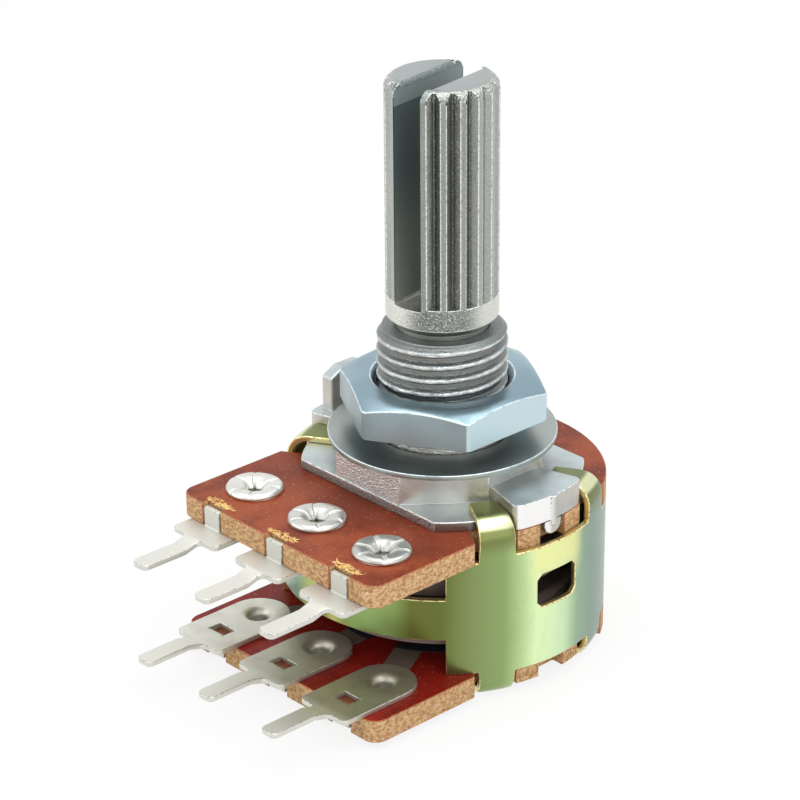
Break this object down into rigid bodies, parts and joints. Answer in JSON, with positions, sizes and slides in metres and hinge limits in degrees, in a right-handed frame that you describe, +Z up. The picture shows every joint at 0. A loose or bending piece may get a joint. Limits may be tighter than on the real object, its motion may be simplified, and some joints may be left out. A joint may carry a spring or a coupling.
{
  "type": "rotary potentiometer",
  "caption": "Ganged rotary potentiometer: a split splined shaft in a threaded bush turns wipers over resistance tracks on wafers with rows of solder pins.",
  "frame": {"origin": "shaft axis at the mounting face, which is the top of the plate's boss under the washer", "axes": "+Z up the shaft, -Y the way the terminals point, +X to the right seen from the shaft's end with the terminals towards the viewer"},
  "size_m": [0.0176, 0.0258, 0.0316],
  "materials": {
    "cast_zinc": "as-cast zinc, satin",
    "zinc_plate": "blue-white zinc plating, satin",
    "washer_plate": "bright zinc plating",
    "chromated_steel": "yellow-green chromated steel with a rainbow tint",
    "phenolic": "glossy phenolic laminate with grainy cut edges",
    "tinned_brass": "tin plating, satin",
    "carbon_film": "printed carbon film, matt",
    "moulding": "grey-brown moulded plastic, satin",
    "spring_bronze": "bright spring bronze"
  },
  "bodies": {
    "housing": {"front_plate": "cast_zinc", "flat_washer": "washer_plate", "frame": "chromated_steel", "front_wafer": "phenolic", "rear_wafer": "phenolic", "front_track": "carbon_film", "rear_track": "carbon_film", "front_terminal_left": "tinned_brass", "front_terminal_centre": "tinned_brass", "front_terminal_right": "tinned_brass", "rear_terminal_left": "tinned_brass", "rear_terminal_centre": "tinned_brass", "rear_terminal_right": "tinned_brass"},
    "spindle": {"shaft": "cast_zinc", "shaft_clip": "washer_plate", "stop_washer": "washer_plate", "front_rotor": "moulding", "rear_rotor": "moulding", "front_wiper": "spring_bronze", "rear_wiper": "spring_bronze"},
    "nut": {"mounting_nut": "zinc_plate"}
  },
  "joints": [
    {"name": "shaft_turn", "type": "hinge", "parent": "housing", "child": "spindle", "pos_m": [0, 0, 0], "axis": [0, 0, 1], "range_deg": [-158, 142]},
    {"name": "nut_turn", "type": "hinge", "parent": "housing", "child": "nut", "pos_m": [0, 0, 0.0024], "axis": [0, 0, 1], "continuous": true}
  ]
}
